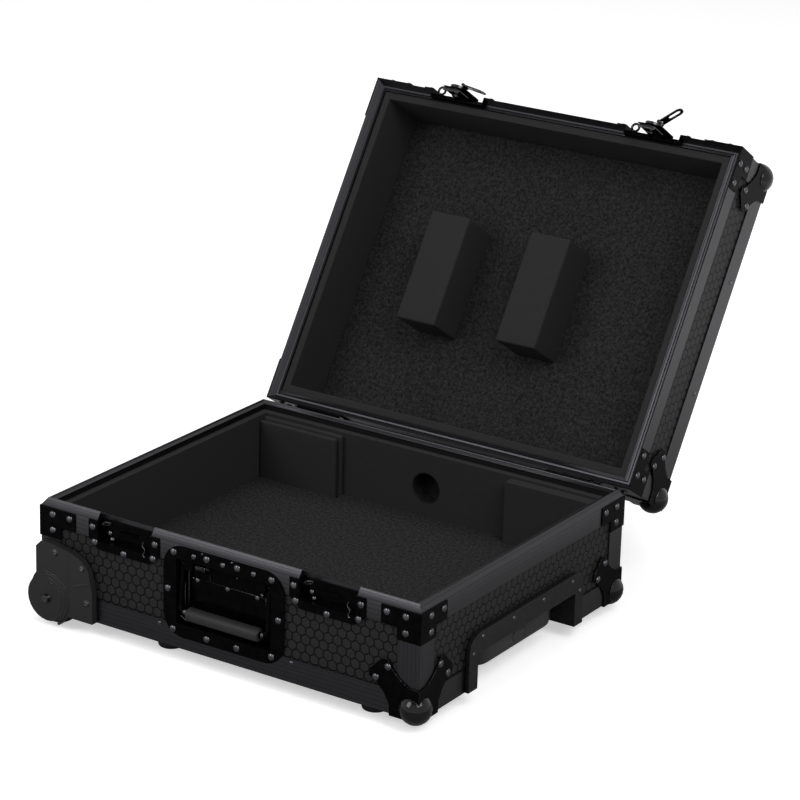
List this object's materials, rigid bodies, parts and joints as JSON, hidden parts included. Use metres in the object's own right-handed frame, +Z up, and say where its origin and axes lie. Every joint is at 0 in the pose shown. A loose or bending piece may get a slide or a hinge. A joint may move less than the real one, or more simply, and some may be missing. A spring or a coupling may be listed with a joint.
{
  "type": "turntable flight case",
  "caption": "Wheeled flight case for a turntable: shallow laminated box with aluminium edging, hinged lid, butterfly latches, sprung carrying handle and pull-out trolley handle.",
  "frame": {"origin": "the middle of the carpeted floor board's top, where the turntable stands; the feet stand 67 mm below it", "axes": "+X to the right as the user faces the latches (towards the trolley handle), +Y from the latches to the hinges, +Z up"},
  "size_m": [0.5777, 0.8129, 0.571],
  "materials": {
    "laminate": "black hexagon-embossed laminate on plywood, satin",
    "aluminium_edging": "black anodised extruded aluminium, satin, brighter on worn edges",
    "black_steel": "black plated pressed steel, glossy",
    "bright_steel": "black nickel plated steel, glossy, with bright edges",
    "zinc_steel": "zinc plated steel tube, dull",
    "rubber": "black moulded rubber, matt",
    "rubber_grip": "black soft-touch rubber, satin",
    "wheel_rubber": "dark polyurethane tread on a nylon core, satin",
    "grey_moulding": "dark grey moulded nylon, fine matt grain",
    "black_plastic": "black moulded plastic, satin",
    "foam": "black closed-cell foam, matt",
    "carpet": "charcoal needle-punched felt, matt"
  },
  "bodies": {
    "base": {"base_ball_corner_back_right": "black_steel", "base_ball_corner_front_right": "black_steel", "base_corner_brace_back_left": "black_steel", "base_corner_brace_back_right": "black_steel", "base_corner_brace_front_left": "black_steel", "base_corner_brace_front_right": "black_steel", "base_edging": "aluminium_edging", "base_foam_lining": "foam", "base_foam_pad": "foam", "base_foot_back_left": "rubber", "base_foot_back_right": "rubber", "base_foot_front_left": "rubber", "base_foot_front_right": "rubber", "base_tray": "laminate", "cable_port": "black_plastic", "carpeted_floor_board": "carpet", "handle_dish": "black_steel", "handle_spring": "bright_steel", "hinge_base_leaf_left": "black_steel", "hinge_base_leaf_right": "black_steel", "latch_keeper_left": "black_steel", "latch_keeper_right": "black_steel", "trolley_housing": "black_plastic", "trolley_sleeves": "zinc_steel", "wheel_housing_back": "grey_moulding", "wheel_housing_front": "grey_moulding"},
    "lid": {"hinge_lid_leaf_left": "black_steel", "hinge_lid_leaf_right": "black_steel", "latch_dish_left": "black_steel", "latch_dish_right": "black_steel", "lid_ball_corner_back_left": "black_steel", "lid_ball_corner_back_right": "black_steel", "lid_ball_corner_front_left": "black_steel", "lid_ball_corner_front_right": "black_steel", "lid_carpet": "carpet", "lid_corner_brace_back_left": "black_steel", "lid_corner_brace_back_right": "black_steel", "lid_corner_brace_front_left": "black_steel", "lid_corner_brace_front_right": "black_steel", "lid_edging": "aluminium_edging", "lid_foam_block_left": "foam", "lid_foam_block_right": "foam", "lid_foam_lining": "foam", "lid_side_foot_back": "rubber", "lid_side_foot_front": "rubber", "lid_tray": "laminate"},
    "latch_left_claw": {"latch_claw_left": "bright_steel"},
    "latch_left_rotor": {"latch_rotor_left": "bright_steel"},
    "latch_left_wing": {"latch_wing_left": "bright_steel"},
    "latch_right_claw": {"latch_claw_right": "bright_steel"},
    "latch_right_rotor": {"latch_rotor_right": "bright_steel"},
    "latch_right_wing": {"latch_wing_right": "bright_steel"},
    "handle": {"handle_bail": "bright_steel", "handle_grip": "rubber_grip"},
    "trolley": {"trolley_grip": "rubber_grip", "trolley_tube_back": "black_steel", "trolley_tube_front": "black_steel"},
    "trolley_button": {"trolley_button": "black_plastic"},
    "wheel_front": {"wheel_front": "wheel_rubber"},
    "wheel_back": {"wheel_back": "wheel_rubber"}
  },
  "joints": [
    {"name": "lid_hinge", "type": "hinge", "parent": "base", "child": "lid", "pos_m": [0, 0.2333, 0.086], "axis": [1, 0, 0], "range_deg": [0, 122.7]},
    {"name": "handle_pivot", "type": "hinge", "parent": "base", "child": "handle", "pos_m": [0, -0.2198, 0.0605], "axis": [-1, 0, 0], "range_deg": [0, 90], "stiffness_Nm_per_rad": 0.15, "springref_deg": -28.65},
    {"name": "trolley_slide", "type": "slide", "parent": "base", "child": "trolley", "axis": [1, 0, 0], "range_m": [0, 0.33]},
    {"name": "trolley_button_press", "type": "slide", "parent": "trolley", "child": "trolley_button", "axis": [-1, 0, 0], "range_m": [0, 0.004], "stiffness_N_per_m": 400, "springref_m": -0.002},
    {"name": "wheel_front_spin", "type": "hinge", "parent": "base", "child": "wheel_front", "pos_m": [-0.2582, -0.2154, -0.0295], "axis": [0, 1, 0], "continuous": true},
    {"name": "wheel_back_spin", "type": "hinge", "parent": "base", "child": "wheel_back", "pos_m": [-0.2582, 0.2154, -0.0295], "axis": [0, 1, 0], "continuous": true},
    {"name": "latch_left_turn", "type": "hinge", "parent": "lid", "child": "latch_left_rotor", "pos_m": [-0.1465, 0.48118, 0.47766], "axis": [0, 0.5402, 0.8415], "range_deg": [0, 180]},
    {"name": "latch_left_claw_draw", "type": "slide", "parent": "lid", "child": "latch_left_claw", "axis": [0, 0.569, -0.8223], "range_m": [0, 0.0065]},
    {"name": "latch_left_wing_fold", "type": "hinge", "parent": "latch_left_rotor", "child": "latch_left_wing", "pos_m": [-0.1377, 0.48447, 0.48279], "axis": [0, -0.8415, 0.5402], "range_deg": [0, 98]},
    {"name": "latch_right_turn", "type": "hinge", "parent": "lid", "child": "latch_right_rotor", "pos_m": [0.1465, 0.48118, 0.47766], "axis": [0, 0.5402, 0.8415], "range_deg": [0, 180]},
    {"name": "latch_right_claw_draw", "type": "slide", "parent": "lid", "child": "latch_right_claw", "axis": [0, 0.569, -0.8223], "range_m": [0, 0.0065]},
    {"name": "latch_right_wing_fold", "type": "hinge", "parent": "latch_right_rotor", "child": "latch_right_wing", "pos_m": [0.1553, 0.48447, 0.48279], "axis": [0, -0.8415, 0.5402], "range_deg": [-51, 47]}
  ],
  "couplings": [
    {"joint": "latch_left_claw_draw", "follows": "latch_left_turn", "m_per_rad": 0.002069},
    {"joint": "latch_right_claw_draw", "follows": "latch_right_turn", "m_per_rad": 0.002069}
  ]
}
